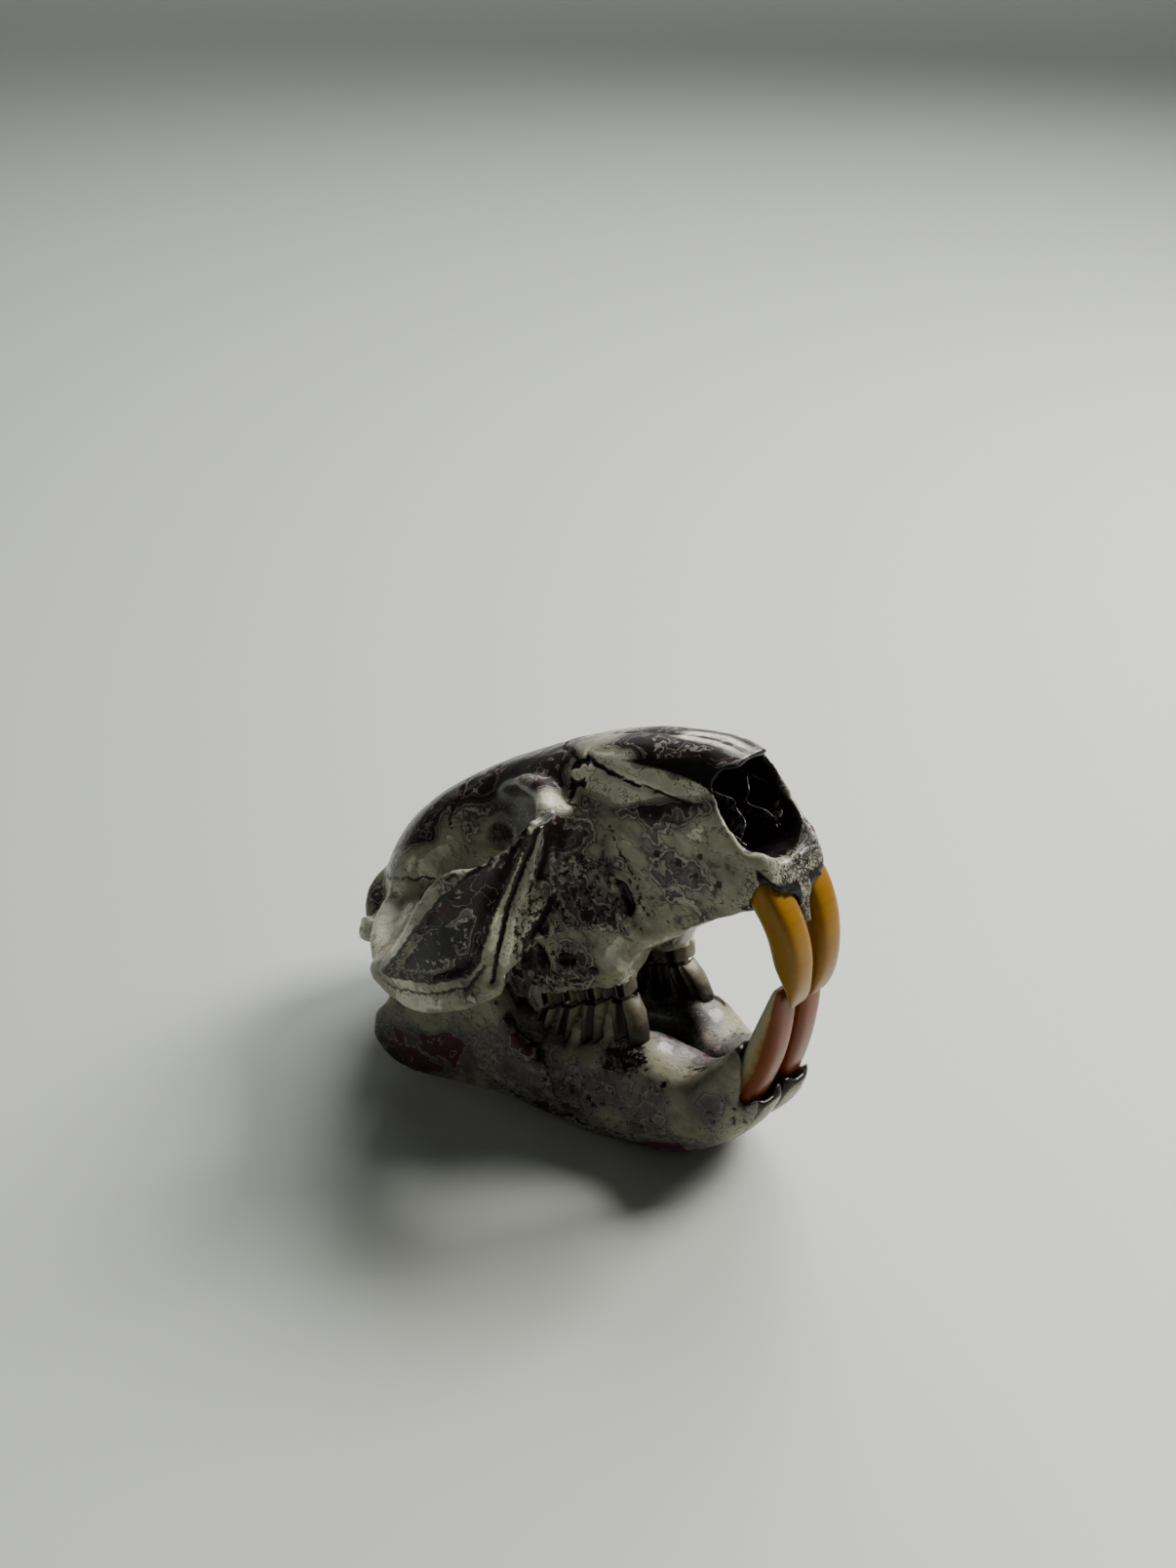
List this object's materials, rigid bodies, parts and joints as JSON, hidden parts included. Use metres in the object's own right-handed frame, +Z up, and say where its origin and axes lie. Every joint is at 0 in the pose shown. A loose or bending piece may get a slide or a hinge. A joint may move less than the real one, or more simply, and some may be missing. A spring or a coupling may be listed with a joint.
{
  "type": "beaver skull",
  "caption": "Beaver cranium with both halves of its lower jaw and four chisel gnawing teeth, finished in sanded, clear-coated layers of lacquer.",
  "frame": {"origin": "on the floor, under the centre of the skull's bounding box", "axes": "+X towards the nose, +Y towards the animal's left, +Z up; the skull is pitched nose up as it rests"},
  "size_m": [0.1282, 0.0958, 0.1006],
  "materials": {
    "bone": "bone under sanded layers of lacquer, clear gloss coat",
    "jaw_bone": "bone under sanded layers of lacquer, clear gloss coat",
    "upper_enamel": "amber tooth enamel, glossy",
    "lower_enamel": "orange-brown tooth enamel, glossy"
  },
  "bodies": {
    "root": {"cranium": "bone", "mandible_right": "jaw_bone", "mandible_left": "jaw_bone", "upper_incisor_right": "upper_enamel", "upper_incisor_left": "upper_enamel", "lower_incisor_right": "lower_enamel", "lower_incisor_left": "lower_enamel"}
  },
  "joints": []
}
